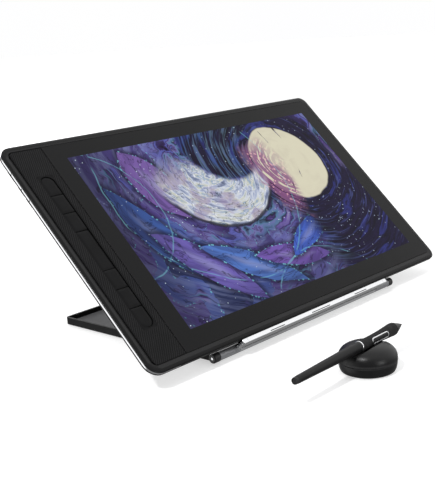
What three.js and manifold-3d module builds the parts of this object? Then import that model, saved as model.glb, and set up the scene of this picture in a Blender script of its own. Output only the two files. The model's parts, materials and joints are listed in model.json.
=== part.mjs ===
// Pen drawing tablet on a folding stand, with its pen lying across a round pen stand.
// Millimetres. +X runs along the tablet's long edge, +Y to the back, +Z up.
// The origin is the middle of the underside of the front rubber strip of the stand's base.

import * as THREE from 'three';
import { mergeVertices } from 'three/addons/utils/BufferGeometryUtils.js';
import Module from 'manifold-3d';

const wasm = await Module();
wasm.setup();

// ---------------------------------------------------------------- driving dimensions

const gap = 0.3;                    // clearance between neighbouring pieces
const past = 1;                     // how far a cutting tool reaches past a face

const tiltAngle = 44.2;               // degrees between the tablet and the desk
const hingeY = -11;                 // hinge axis, in front of the origin
const hingeZ = 5.5;                 // hinge axis above the desk

// The tablet, in the tilted frame: x along it, v up it from the hinge axis, w out of its face.
const tablet = {
  left: -218.1,
  right: 213,
  bottom: 0.4,
  top: 242.3,
  front: 17.5,
  back: 6.0,
  bandBottom: 12.7,                 // lower edge of the straight side band
  bandTop: 16.0,                    // where the rounded front edge starts
  edgeRound: 3.65,                  // how far the rounding reaches in over the front
  leftRadius: 13,
  rightRadius: 9,
};
const screen = { x: 16.6, v: 122.4, halfWidth: 172.08, halfHeight: 96.8 };
const pocket = { left: -212, right: 206.9, bottom: 7.2, top: 236, floor: 15.9, radius: 6 };
const coverBottom = 16.2;           // underside of the glass and of the key panel
const glassLeft = -174.4;
const panelLeft = -209.8;
const cornerRadius = 5;

const keySlot = { x: -190.65, halfWidth: 7.25, halfLength: 82, radius: 7.2 };
const keyPitch = 20;
const barHalf = 21.25;              // half the length of the touch bar's place in the slot
const keyTop = 17.1;
const keyBottom = 15.2;
const barTop = 16.8;
const boardTop = 13.9;
const domeTop = 14.5;

const trim = { low: 14.15, high: 15.95, depth: 1.2, rightEnd: -186 };
const sideKey = { low: 11.5, high: 13.6, outer: -217.2, inner: -213, travel: 0.6 };
const sideKeys = [
  { name: 'power_key', middle: 215, half: 6.5 },
  { name: 'brightness_up_key', middle: 198, half: 5.8 },
  { name: 'brightness_down_key', middle: 185, half: 5.8 },
];
const port = { halfWidth: 4.5, low: 12.6, high: 15.74, inner: 203.4, outer: 212.8, middles: [186, 203] };
const lcd = { halfWidth: 178, halfHeight: 103, low: 13.4, high: 15.7 };
const tabletFoot = { x: 168, lowV: 36, highV: 207, halfLength: 11, halfWidth: 4, low: 4.9, high: 6.3 };

// The folding stand.
const plate = { halfWidth: 133.7, top: 186, low: 2.9, high: 5.1, bandHigh: 5.7, bandEnd: 9, radius: 8 };
const shelf = { halfWidth: 111.5, outer: -3.4, inner: 0, low: 4.7 };
const lip = { outer: -4.2, inner: 0, low: 13.0, high: 16.0 };
const lipPads = [{ x: -65, half: 10 }, { x: 0, half: 14 }, { x: 65, half: 10 }];
const platePads = [{ v: 60, half: 7 }, { v: 164, half: 7 }];
const hinge = {
  tubeRadius: 4.1,
  sleeveRadius: 4.1,
  bore: 2.6,
  shaftRadius: 2.2,
  sleeveStart: 106,
  sleeveEnd: 131,
  capEnd: 138.4,
  capRadius: 4.35,
  screwRadius: 1.5,
};
const base = {
  halfWidth: 133.7,
  front: 5.6,                       // measured back from the hinge axis, as are the next two
  rear: 198,
  earFront: 2,
  low: 1.0,
  floor: 2.4,
  top: 8.0,
  rim: 2.5,
  radius: 4,
};
const footStrip = { halfLength: 112, halfWidth: 5, high: 1.3, rearY: 177 };

// The pen stand and the pen lying across it.
const holder = { x: -76.3, y: -125.8, radius: 24.3, split: 9, top: 23.5, roundness: 2.75 };
const cup = { outer: 8, inner: 5.9, floor: 9.4, low: 7.2, top: 18.1 };
const valleyRadius = 12;
const valleyBottom = 18.5;
const pen = { x: -176.5, y: -128.4, z: 23.7, heading: 1.38, roll: 80 };
const penEnds = {
  cap: 3.2,
  barrel: 3.5,
  barrelEnd: 86.5,
  ring: 86.8,
  ringEnd: 88.2,
  grip: 88.5,
  gripEnd: 138.6,
  nose: 138.9,
  noseEnd: 151.5,
  tip: 154.1,
};
const penButton = { middle: 113.5, halfLength: 12.1, halfWidth: 2.7, wall: 0.8, floor: 2.5 };

// ---------------------------------------------------------------- solids

// A closed manifold solid from any closed three.js geometry.
function solid(geometry) {
  const bare = geometry.clone();
  bare.deleteAttribute('normal');
  bare.deleteAttribute('uv');
  const merged = mergeVertices(bare, 1e-4);
  return new wasm.Manifold(new wasm.Mesh({
    numProp: 3,
    vertProperties: new Float32Array(merged.attributes.position.array),
    triVerts: new Uint32Array(merged.index.array),
  }));
}

// The three.js geometry of a manifold solid.
function geometryOf(shape) {
  const mesh = shape.getMesh();
  const geometry = new THREE.BufferGeometry();
  geometry.setAttribute('position', new THREE.BufferAttribute(mesh.vertProperties, 3));
  geometry.setIndex(new THREE.BufferAttribute(mesh.triVerts, 1));
  geometry.computeVertexNormals();
  return geometry;
}

// Corner points of a rectangle with rounded corners: [left, bottom, right, top] in from its edges.
// The radii go round from the bottom left corner: bottom left, bottom right, top right, top left.
function roundedOutline([left, bottom, right, top], radii, inset = 0, steps = 2) {
  const [bl, br, tr, tl] = radii.map((radius) => Math.max(radius - inset, 0.05));
  const x0 = left + inset;
  const x1 = right - inset;
  const y0 = bottom + inset;
  const y1 = top - inset;
  const shape = new THREE.Shape();
  shape.absarc(x0 + bl, y0 + bl, bl, Math.PI, 1.5 * Math.PI);
  shape.absarc(x1 - br, y0 + br, br, 1.5 * Math.PI, 2 * Math.PI);
  shape.absarc(x1 - tr, y1 - tr, tr, 0, 0.5 * Math.PI);
  shape.absarc(x0 + tl, y1 - tl, tl, 0.5 * Math.PI, Math.PI);
  const points = shape.getPoints(steps);
  return points.filter((point, i) => point.distanceTo(points[(i + 1) % points.length]) > 1e-3);
}

// A solid through outlines at rising heights. Each layer is [height, inset]; outlineAt(inset)
// gives the same number of points at every inset.
function stack(layers, outlineAt) {
  const rings = layers.map(([, inset]) => outlineAt(inset));
  const count = rings[0].length;
  const positions = [];
  rings.forEach((ring, layer) => ring.forEach((p) => positions.push(p.x, p.y, layers[layer][0])));
  const indices = [];
  for (let layer = 0; layer + 1 < rings.length; layer++) {
    for (let i = 0; i < count; i++) {
      const a = layer * count + i;
      const b = layer * count + (i + 1) % count;
      indices.push(a, b, b + count, a, b + count, a + count);
    }
  }
  const lastRing = (rings.length - 1) * count;
  for (const [a, b, c] of THREE.ShapeUtils.triangulateShape(rings[0], [])) {
    indices.push(c, b, a);
  }
  for (const [a, b, c] of THREE.ShapeUtils.triangulateShape(rings.at(-1), [])) {
    indices.push(lastRing + a, lastRing + b, lastRing + c);
  }
  const geometry = new THREE.BufferGeometry();
  geometry.setAttribute('position', new THREE.Float32BufferAttribute(positions, 3));
  geometry.setIndex(indices);
  return solid(geometry);
}

// A slab with rounded corners and small chamfers on its top and bottom edges.
function slab(limits, low, high, radii, chamfer = 0.2, steps = 2) {
  const corners = Array.isArray(radii) ? radii : [radii, radii, radii, radii];
  const layers = [[low, chamfer], [low + chamfer, 0], [high - chamfer, 0], [high, chamfer]];
  return stack(layers, (inset) => roundedOutline(limits, corners, inset, steps));
}

// A straight-sided cutting tool or block with rounded corners.
function prism(limits, low, high, radius = 0.05, steps = 2) {
  const corners = [radius, radius, radius, radius];
  return stack([[low, 0], [high, 0]], (inset) => roundedOutline(limits, corners, inset, steps));
}

function box([x0, y0, z0], [x1, y1, z1]) {
  const geometry = new THREE.BoxGeometry(x1 - x0, y1 - y0, z1 - z0);
  geometry.translate((x0 + x1) / 2, (y0 + y1) / 2, (z0 + z1) / 2);
  return solid(geometry);
}

// A round bar along X.
function bar(radius, x0, x1, y = 0, z = 0, sides = 28) {
  const geometry = new THREE.CylinderGeometry(radius, radius, x1 - x0, sides);
  geometry.rotateZ(-Math.PI / 2);
  geometry.translate((x0 + x1) / 2, y, z);
  return solid(geometry);
}

// A round post along Z.
function post(radius, z0, z1, x = 0, y = 0, sides = 28) {
  const geometry = new THREE.CylinderGeometry(radius, radius, z1 - z0, sides);
  geometry.rotateX(Math.PI / 2);
  geometry.translate(x, y, (z0 + z1) / 2);
  return solid(geometry);
}

// A turned solid: profile points are [radius, height] and start and end on the axis.
function turned(profile, sides = 24) {
  return new THREE.LatheGeometry(profile.map(([r, h]) => new THREE.Vector2(r, h)), sides);
}
const turnedAlongZ = (profile, sides) => solid(turned(profile, sides).rotateX(Math.PI / 2));
const turnedAlongX = (profile, sides) => solid(turned(profile, sides).rotateZ(-Math.PI / 2));

// ---------------------------------------------------------------- materials and nodes

const finishes = {
  glass: { color: 0x16171a, roughness: 0.22, metalness: 0 },
  panel: { color: 0x1b1b1d, roughness: 0.6, metalness: 0 },
  frame: { color: 0x232325, roughness: 0.5, metalness: 0.4 },
  cover: { color: 0x1d1d20, roughness: 0.55, metalness: 0.3 },
  key: { color: 0x202022, roughness: 0.45, metalness: 0 },
  chrome: { color: 0xd8dade, roughness: 0.12, metalness: 1 },
  polished: { color: 0xd4d6d8, roughness: 0.2, metalness: 1 },
  satin: { color: 0x818285, roughness: 0.35, metalness: 1 },
  darkSteel: { color: 0x4a4b4e, roughness: 0.35, metalness: 1 },
  stand: { color: 0x1c1c1e, roughness: 0.5, metalness: 0.5 },
  liner: { color: 0x47484b, roughness: 0.9, metalness: 0 },
  rubber: { color: 0x141414, roughness: 0.9, metalness: 0 },
  board: { color: 0x1d5a3a, roughness: 0.6, metalness: 0 },
  sheet: { color: 0x9a9da0, roughness: 0.4, metalness: 0.9 },
  panelStack: { color: 0x8c9096, roughness: 0.4, metalness: 0.2 },
  penPlastic: { color: 0x1f1f21, roughness: 0.5, metalness: 0 },
  nib: { color: 0x2a2a2b, roughness: 0.5, metalness: 0 },
};

function node(name, finish, shape) {
  const mesh = new THREE.Mesh(geometryOf(shape), new THREE.MeshStandardMaterial(finishes[finish]));
  mesh.name = name;
  return mesh;
}

// ---------------------------------------------------------------- tablet

const bodyLimits = [tablet.left, tablet.bottom, tablet.right, tablet.top];
const bodyRadii = [tablet.leftRadius, tablet.rightRadius, tablet.rightRadius, tablet.leftRadius];
const bodyOutline = (inset) => roundedOutline(bodyLimits, bodyRadii, inset, 4);
const around = (halfWidth, halfHeight) => [
  screen.x - halfWidth, screen.v - halfHeight, screen.x + halfWidth, screen.v + halfHeight,
];
const slotLimits = (grow) => [
  keySlot.x - keySlot.halfWidth - grow, screen.v - keySlot.halfLength - grow,
  keySlot.x + keySlot.halfWidth + grow, screen.v + keySlot.halfLength + grow,
];

// The space that the side keys and the ports need in the pieces round them.
function sideOpenings() {
  const keys = sideKeys.map(({ middle, half }) => box(
    [tablet.left - past, middle - half - gap, sideKey.low - gap],
    [sideKey.inner + gap + sideKey.travel, middle + half + gap, sideKey.high + gap],
  ));
  const ports = port.middles.map((middle) => box(
    [port.inner - gap, middle - port.halfWidth - gap, port.low - gap],
    [tablet.right + past, middle + port.halfWidth + gap, port.high + gap],
  ));
  return [...keys, ...ports].reduce((all, tool) => all.add(tool));
}

// The black metal frame: a rounded front edge, a straight side band, and openings for the
// screen, the key board and the chrome trim.
function midFrame() {
  const layers = [[tablet.bandBottom, 0.3], [tablet.bandBottom + 0.3, 0]];
  for (let step = 0; step <= 4; step++) {
    const turn = step * Math.PI / 8;
    const inset = tablet.edgeRound * (1 - Math.cos(turn));
    layers.push([tablet.bandTop + (tablet.front - tablet.bandTop) * Math.sin(turn), inset]);
  }
  const { left, right, bottom, top, floor, radius } = pocket;
  const wellGrow = 1.6;
  return stack(layers, bodyOutline)
    .subtract(prism([left, bottom, right, top], floor, tablet.front + past, radius))
    .subtract(prism(around(lcd.halfWidth + 0.5, lcd.halfHeight + 0.5), 12, 17, 2))
    .subtract(prism(slotLimits(wellGrow), 12, 17, keySlot.radius + wellGrow))
    .subtract(trimBand(trim.low - gap, trim.high + gap, trim.depth + gap, -past))
    .subtract(sideOpenings());
}

// A band that follows the outside of the body round its left end.
function trimBand(low, high, depth, outset) {
  const outer = stack([[low, outset], [high, outset]], bodyOutline);
  const inner = stack([[low - past, depth], [high + past, depth]], bodyOutline);
  const reach = trim.rightEnd + (outset < 0 ? gap : 0);
  const leftEnd = box([-240, -20, low - past], [reach, 260, high + past]);
  return outer.subtract(inner).intersect(leftEnd);
}

function coverGlass() {
  const limits = [glassLeft, pocket.bottom + gap, pocket.right - gap, pocket.top - gap];
  return slab(limits, coverBottom, tablet.front, [0.6, cornerRadius, cornerRadius, 0.6]);
}

function keyPanel() {
  const limits = [panelLeft, pocket.bottom + gap, glassLeft - gap, pocket.top - gap];
  const plain = slab(limits, coverBottom, tablet.front, [cornerRadius, 0.6, 0.6, cornerRadius]);
  return plain.subtract(prism(slotLimits(0), 15, 19, keySlot.radius, 4));
}

// One key in the slot between two heights on the panel, with round ends where the slot ends.
function slotKey(from, to, top) {
  const upperEnd = to > keySlot.halfLength - 1;
  const lowerEnd = from < 1 - keySlot.halfLength;
  const round = keySlot.radius - gap;
  const small = 0.8;
  const radii = [lowerEnd, lowerEnd, upperEnd, upperEnd].map((isEnd) => (isEnd ? round : small));
  const limits = [
    keySlot.x - keySlot.halfWidth + gap, screen.v + from + (lowerEnd ? gap : gap / 2),
    keySlot.x + keySlot.halfWidth - gap, screen.v + to - (upperEnd ? gap : gap / 2),
  ];
  return slab(limits, keyBottom, top, radii, 0.35, upperEnd || lowerEnd ? 3 : 1);
}

function keySpans() {
  const spans = [];
  for (let i = 2; i >= 0; i--) {
    const near = barHalf + i * keyPitch;
    const far = i === 2 ? keySlot.halfLength : near + keyPitch;
    spans.push([near, far]);
  }
  const lower = [...spans].reverse().map(([near, far]) => [-far, -near]);
  return [...spans, ...lower];
}

function keyBoard() {
  const board = slab(slotLimits(0.9), 12.9, boardTop, keySlot.radius + 0.9, 0.1);
  return keySpans().reduce((all, [from, to]) => {
    const dome = post(2.6, boardTop - 0.5, domeTop, keySlot.x, screen.v + (from + to) / 2, 10);
    return all.add(dome);
  }, board);
}

// The thin back cover: an open tray whose sides slope in from the frame to the flat back.
function backCover() {
  const outside = [[tablet.back, 28], [6.6, 21], [8, 12], [9.8, 5], [11.6, 1.4], [12.4, 1]];
  const inside = [[7.4, 30], [8.8, 15], [10, 8], [12.4 + past, 3]];
  const shell = stack(outside, bodyOutline).subtract(stack(inside, bodyOutline)).subtract(sideOpenings());
  return footPlaces().reduce((all, [x, v]) => all.subtract(footBody(x, v, gap)), shell);
}

function footPlaces() {
  const { x, lowV, highV } = tabletFoot;
  return [[-x, lowV], [x, lowV], [-x, highV], [x, highV]];
}

function footBody(x, v, grow = 0) {
  const { halfLength, halfWidth, low, high } = tabletFoot;
  const limits = [x - halfLength - grow, v - halfWidth - grow, x + halfLength + grow, v + halfWidth + grow];
  return slab(limits, low - grow, high + grow, halfWidth + grow - 0.05, 0.3);
}

function mainBoard() {
  const board = slab([70, 150, 178, 214], 8.9, 10, 2, 0.1);
  const chips = [[92, 190, 9], [118, 186, 11], [146, 192, 7], [150, 168, 6], [100, 164, 5]];
  const connector = box([170, 176, 9.9], [182, 212, 10.7]);
  return chips.reduce((all, [x, v, half]) => (
    all.add(box([x - half, v - half, 9.9], [x + half, v + half, 10.7]))
  ), board.add(connector));
}

function usbPort(middle) {
  const { halfWidth, low, high, inner, outer } = port;
  const height = (low + high) / 2;
  const shell = box([inner, middle - halfWidth, low], [outer, middle + halfWidth, high]);
  const mouth = box([inner + 2, middle - 4.1, height - 1.2], [outer + past, middle + 4.1, height + 1.2]);
  const tongue = box([inner + 1, middle - 3.3, height - 0.35], [outer - 1.5, middle + 3.3, height + 0.35]);
  return shell.subtract(mouth).add(tongue);
}

function tabletNodes() {
  const group = new THREE.Group();
  group.add(node('mid_frame', 'frame', midFrame()));
  group.add(node('side_trim', 'chrome', trimBand(trim.low, trim.high, trim.depth, 0)));
  group.add(node('cover_glass', 'glass', coverGlass()));
  group.add(node('key_panel', 'panel', keyPanel()));
  group.add(node('back_cover', 'cover', backCover()));
  keySpans().forEach(([from, to], i) => {
    group.add(node(`express_key_${i + 1}`, 'key', slotKey(from, to, keyTop)));
  });
  group.add(node('touch_bar', 'key', slotKey(-barHalf, barHalf, barTop)));
  group.add(node('key_board', 'board', keyBoard()));
  const sheetBy = (extra, low, high) => (
    slab(around(lcd.halfWidth - extra, lcd.halfHeight - extra), low, high, 1, 0.1, 1)
  );
  group.add(node('lcd_panel', 'panelStack', sheetBy(0, lcd.low, lcd.high)));
  group.add(node('digitizer_board', 'board', sheetBy(4, 12.2, 13)));
  group.add(node('shield_plate', 'sheet', sheetBy(2, 11.1, 11.9)));
  group.add(node('main_board', 'board', mainBoard()));
  for (const { name, middle, half } of sideKeys) {
    const limits = [sideKey.outer, middle - half, sideKey.inner, middle + half];
    group.add(node(name, 'key', slab(limits, sideKey.low, sideKey.high, 0.6, 0.3)));
  }
  port.middles.forEach((middle, i) => group.add(node(`usb_c_port_${i + 1}`, 'darkSteel', usbPort(middle))));
  footPlaces().forEach(([x, v], i) => group.add(node(`tablet_foot_${i + 1}`, 'rubber', footBody(x, v))));
  return group;
}

// ---------------------------------------------------------------- stand, tilting half

// The plate, with a band that reaches forward over the hinge tube and a round relief for it.
function supportPlate() {
  const { halfWidth, top, low, high, bandHigh, bandEnd, radius } = plate;
  const relief = bar(hinge.capRadius + gap, -halfWidth - past, halfWidth + past);
  const bandHalf = hinge.sleeveStart - gap;
  const frontBand = slab([-bandHalf, shelf.outer, bandHalf, bandEnd], shelf.low, bandHigh, 1, 0.2);
  const sheetStart = hinge.tubeRadius - 0.6;
  const sheet = slab([-halfWidth, sheetStart, halfWidth, top], low, high, [1, 1, radius, radius], 0.3);
  const pads = platePads.map(({ v, half }) => padBody(v, half, gap));
  const whole = frontBand.add(sheet).subtract(relief);
  return pads.reduce((all, pad) => all.subtract(pad), whole);
}

function padBody(v, half, grow = 0) {
  const limits = [-112 - grow, v - half - grow, 112 + grow, v + half + grow];
  return slab(limits, 4.4 - grow, plate.bandHigh + grow, 3 + grow, 0.2);
}

function lipPadBody({ x, half }, grow = 0) {
  const limits = [x - half - grow, -2.7 - grow, x + half + grow, lip.inner + 0.05 + grow];
  return slab(limits, lip.low + 0.6 - grow, lip.high + 0.05 + grow, 0.4, 0.1);
}

// The polished bar under the tablet's edge: it stands on the band and has a place for each
// rubber insert.
function lipBar() {
  const { halfWidth, outer, inner } = shelf;
  const ledge = slab([-halfWidth, outer, halfWidth, inner], plate.bandHigh + gap, lip.low + 1, 1, 0.2);
  const whole = slab([-halfWidth, lip.outer, halfWidth, lip.inner], lip.low, lip.high, 1.2, 0.6).add(ledge);
  return lipPads.reduce((all, pad) => all.subtract(lipPadBody(pad, gap)), whole);
}

function hingeTube() {
  const end = hinge.sleeveStart - gap;
  return bar(hinge.tubeRadius, -end, end).subtract(bar(hinge.bore, -end - past, end + past));
}

function plateNodes() {
  const group = new THREE.Group();
  group.add(node('support_plate', 'stand', supportPlate()));
  platePads.forEach(({ v, half }, i) => group.add(node(`plate_pad_${i + 1}`, 'rubber', padBody(v, half))));
  group.add(node('lip_bar', 'polished', lipBar()));
  lipPads.forEach((pad, i) => group.add(node(`lip_pad_${i + 1}`, 'rubber', lipPadBody(pad))));
  group.add(node('hinge_tube', 'satin', hingeTube()));
  group.add(node('hinge_shaft', 'darkSteel', bar(hinge.shaftRadius, -hinge.sleeveEnd, hinge.sleeveEnd)));
  return group;
}

// ---------------------------------------------------------------- stand, lower half

// The tray on the desk, with an ear under each hinge sleeve.
function standBase() {
  const { halfWidth, front, rear, low, floor, top, rim, radius } = base;
  const outer = [-halfWidth, hingeY + front, halfWidth, hingeY + rear];
  const inner = [-halfWidth + rim, hingeY + front + rim, halfWidth - rim, hingeY + rear - rim];
  const tray = slab(outer, low, top, [1.5, 1.5, radius, radius], 0.5)
    .subtract(slab(inner, floor, top + 2 * past, [0.8, 0.8, 2, 2], 0.2));
  const ears = [-1, 1].map((side) => {
    const ends = [side * (hinge.sleeveStart + gap), side * hinge.sleeveEnd].sort((a, b) => a - b);
    return box([ends[0], hingeY + base.earFront, low], [ends[1], hingeY + front + rim / 2, hingeZ - 1]);
  });
  const cradle = bar(hinge.capRadius + gap, -hinge.capEnd - past, hinge.capEnd + past, hingeY, hingeZ);
  const whole = ears.reduce((all, ear) => all.add(ear), tray).subtract(cradle);
  return stripPlaces().reduce((all, y) => all.subtract(stripBody(y, gap)), whole);
}

const stripPlaces = () => [0, footStrip.rearY];

function stripBody(y, grow = 0) {
  const { halfLength, halfWidth, high } = footStrip;
  const limits = [-halfLength - grow, y - halfWidth - grow, halfLength + grow, y + halfWidth + grow];
  return slab(limits, -grow, high + grow, 3 + grow, 0.2);
}

function baseLiner() {
  const inset = base.rim + gap;
  const halfWidth = base.halfWidth - inset;
  const limits = [-halfWidth, hingeY + base.front + inset, halfWidth, hingeY + base.rear - inset];
  return slab(limits, base.floor + gap, base.floor + gap + 0.7, [0.6, 0.6, 1.8, 1.8], 0.15);
}

const sideLimits = (side, near, far) => [side * near, side * far].sort((a, b) => a - b);

function hingeSleeve(side) {
  const [x0, x1] = sideLimits(side, hinge.sleeveStart, hinge.sleeveEnd);
  const bore = bar(hinge.bore, x0 - past, x1 + past, hingeY, hingeZ);
  return bar(hinge.sleeveRadius, x0, x1, hingeY, hingeZ).subtract(bore);
}

function hingeCap(side) {
  const start = hinge.sleeveEnd + gap;
  const { capEnd, capRadius, screwRadius } = hinge;
  const profile = [
    [0, start], [capRadius, start], [capRadius, capEnd - 1.2], [capRadius - 0.4, capEnd - 0.4],
    [capRadius - 1.3, capEnd], [screwRadius + gap, capEnd], [screwRadius + gap, capEnd - 1.6],
    [0, capEnd - 1.6],
  ];
  return placedOnHinge(profile, side);
}

function hingeScrew(side) {
  const { capEnd, screwRadius } = hinge;
  return placedOnHinge([[0, capEnd - 1.3], [screwRadius, capEnd - 1.3], [screwRadius, capEnd - 0.2],
    [screwRadius - 0.4, capEnd], [0, capEnd]], side);
}

// A piece turned about the hinge axis, on its left end (side -1) or its right end (side 1).
function placedOnHinge(profile, side) {
  const geometry = turned(profile, 28).rotateZ(-Math.PI / 2);
  if (side < 0) {
    geometry.rotateZ(Math.PI);
  }
  return solid(geometry.translate(0, hingeY, hingeZ));
}

function baseNodes() {
  const group = new THREE.Group();
  group.add(node('stand_base', 'stand', standBase()));
  group.add(node('base_liner', 'liner', baseLiner()));
  stripPlaces().forEach((y, i) => {
    group.add(node(`base_foot_${i === 0 ? 'front' : 'rear'}`, 'rubber', stripBody(y)));
  });
  for (const [side, word] of [[-1, 'left'], [1, 'right']]) {
    group.add(node(`hinge_sleeve_${word}`, 'darkSteel', hingeSleeve(side)));
    group.add(node(`hinge_cap_${word}`, 'cover', hingeCap(side)));
    group.add(node(`hinge_screw_${word}`, 'polished', hingeScrew(side)));
  }
  return group;
}

// ---------------------------------------------------------------- pen stand

// The dome's outline: a rounded shape that is flatter on top than an ellipse.
function domeProfile(steps = 10) {
  const { radius, split, top, roundness } = holder;
  const points = [[0, split + gap], [radius - 0.5, split + gap], [radius, split + gap + 0.5]];
  for (let step = 1; step <= steps; step++) {
    const turn = (step / steps) * Math.PI / 2;
    const across = Math.cos(turn) ** (2 / roundness);
    const up = Math.sin(turn) ** (2 / roundness);
    points.push([step === steps ? 0 : radius * across, split + 0.8 + (top - split - 0.8) * up]);
  }
  return points;
}

function holderLid() {
  const heading = THREE.MathUtils.degToRad(pen.heading);
  const valley = new THREE.CylinderGeometry(valleyRadius, valleyRadius, 60, 36)
    .rotateZ(-Math.PI / 2)
    .translate(0, 0, valleyBottom + valleyRadius)
    .rotateZ(heading);
  const below = holder.split - past;
  const hollow = turnedAlongZ([[0, below], [21.4, below], [21, 11], [17.5, 15], [0, 15]]);
  const core = post(cup.outer + gap + 1.8, 0, 16);
  return turnedAlongZ(domeProfile(), 44)
    .subtract(solid(valley))
    .subtract(hollow.subtract(core))
    .subtract(post(cup.outer + gap, 0, 30));
}

function holderCup() {
  const { outer, inner, floor, low, top } = cup;
  return turnedAlongZ([[0, low], [outer, low], [outer, top - 0.3], [outer - 0.3, top],
    [inner + 0.4, top], [inner, top - 0.4], [inner, floor], [0, floor]], 28);
}

function holderBase() {
  const { radius, split: top } = holder;
  const bowl = turnedAlongZ([[0, 1], [radius - 2.3, 1], [radius - 1.2, 2.8], [radius - 0.5, 5.4],
    [radius - 0.2, top], [0, top]], 44);
  return bowl.subtract(post(19, 2.9, 9)).subtract(post(20 + gap, -past, 1.3 + gap));
}

// The tray that keeps the spare nibs upright under the lid, in a ring of holes.
function nibTray() {
  const holeCount = 8;
  let tray = turnedAlongZ([[0, 3.2], [18.6, 3.2], [18.6, 5.9], [18.3, 6.2], [0, 6.2]]);
  for (let i = 0; i < holeCount; i++) {
    const turn = (i / holeCount) * 2 * Math.PI;
    tray = tray.subtract(post(0.9, 3.9, 9, 14 * Math.cos(turn), 14 * Math.sin(turn), 8));
  }
  return tray.subtract(post(3.2, 4.2, 9, 0, 0, 24));
}

function holderNodes() {
  const group = new THREE.Group();
  group.position.set(holder.x, holder.y, 0);
  group.add(node('pen_stand_lid', 'rubber', holderLid()));
  group.add(node('pen_stand_cup', 'rubber', holderCup()));
  group.add(node('pen_stand_base', 'penPlastic', holderBase()));
  const footProfile = [[0, 0], [19.7, 0], [20, 0.3], [20, 1.3], [0, 1.3]];
  group.add(node('pen_stand_foot', 'rubber', turnedAlongZ(footProfile)));
  group.add(node('nib_tray', 'penPlastic', nibTray()));
  return group;
}

// ---------------------------------------------------------------- pen

// The pen's outer radius along it, as [distance from the tail, radius].
const curveThrough = (points) => new THREE.SplineCurve(points.map(([s, r]) => new THREE.Vector2(s, r)));
const barrelCurve = curveThrough([[penEnds.barrel, 3.1], [25, 3.5], [58, 4.15], [penEnds.barrelEnd, 4.65]]);
const gripCurve = curveThrough([[penEnds.grip, 4.6], [102, 4.35], [117, 4.5], [130, 5.15],
  [136, 5.5], [penEnds.gripEnd, 5.5]]);

function alongCurve(curve, swell = 0, steps = 8) {
  const points = curve.getPoints(steps).map(({ x, y }) => [y + swell, x]);
  return [[0, points[0][1]], ...points, [0, points.at(-1)[1]]];
}

// A long rounded block standing on the pen's axis, where the side button is.
function buttonColumn(inset, low = penButton.floor) {
  const { middle, halfLength, halfWidth } = penButton;
  const limits = [middle - halfLength, -halfWidth, middle + halfLength, halfWidth];
  const corners = Array(4).fill(halfWidth - 0.02);
  return stack([[low, inset], [8, inset]], () => roundedOutline(limits, corners, inset, 3));
}

function penGrip() {
  return turnedAlongX(alongCurve(gripCurve)).subtract(buttonColumn(-gap));
}

// The bright surround of the button follows the grip's surface and stands just proud of it.
function buttonBezel() {
  return buttonColumn(0, penButton.floor + gap)
    .subtract(buttonColumn(penButton.wall, 0))
    .intersect(turnedAlongX(alongCurve(gripCurve, 0.15)));
}

function penRocker() {
  const bottom = penButton.floor + 0.8;
  return buttonColumn(penButton.wall + gap, bottom).intersect(turnedAlongX(alongCurve(gripCurve, 0.3)));
}

function penNose() {
  const { nose, noseEnd } = penEnds;
  return turnedAlongX([[0, nose], [5.4, nose], [5.3, nose + 0.8], [3.6, nose + 5.4], [1.3, noseEnd],
    [0.95, noseEnd], [0.95, nose + 2], [0, nose + 2]]);
}

function penNib() {
  const { nose, tip } = penEnds;
  const profile = [[0, nose + 2.7], [0.62, nose + 2.7], [0.62, tip - 1], [0.45, tip - 0.3], [0, tip]];
  return turnedAlongX(profile, 20);
}

function penNodes() {
  const heading = new THREE.Group();
  heading.position.set(pen.x, pen.y, pen.z);
  heading.rotation.z = THREE.MathUtils.degToRad(pen.heading);
  const roll = new THREE.Group();
  roll.rotation.x = THREE.MathUtils.degToRad(pen.roll);
  heading.add(roll);
  const { cap, ring, ringEnd } = penEnds;
  const capProfile = [[0, 0], [2.3, 0], [2.8, 0.5], [3, cap], [0, cap]];
  const ringProfile = [[0, ring], [4.7, ring], [4.85, ring + 0.3], [4.85, ringEnd - 0.3],
    [4.7, ringEnd], [0, ringEnd]];
  roll.add(node('pen_tail_cap', 'key', turnedAlongX(capProfile)));
  roll.add(node('pen_barrel', 'penPlastic', turnedAlongX(alongCurve(barrelCurve))));
  roll.add(node('pen_ring', 'polished', turnedAlongX(ringProfile)));
  roll.add(node('pen_grip', 'rubber', penGrip()));
  roll.add(node('pen_button_bezel', 'polished', buttonBezel()));
  roll.add(node('pen_side_button', 'key', penRocker()));
  roll.add(node('pen_nose', 'penPlastic', penNose()));
  roll.add(node('pen_nib', 'nib', penNib()));
  return heading;
}

// ---------------------------------------------------------------- the whole object

const tilted = new THREE.Group();
tilted.position.set(0, hingeY, hingeZ);
tilted.rotation.x = THREE.MathUtils.degToRad(tiltAngle);
tilted.add(plateNodes(), tabletNodes());

const object = new THREE.Group();
object.add(baseNodes(), tilted, holderNodes(), penNodes());

export default object;
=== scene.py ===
"""Looks of a pen display on its folding stand, with its pen lying across a round pen stand.

Shapes are written in millimetres and scaled to metres as each piece is made. Places and sizes
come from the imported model. The tablet and the tilting half of the stand are drawn in the tilted
frame: x along the tablet's long edge, y up its face from the hinge axis, z out of its face. The
pen is drawn along its own axis, from its tail, with its side button on +z.
"""

import json
import math

import bmesh
import bpy
from mathutils import Matrix, Vector


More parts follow.
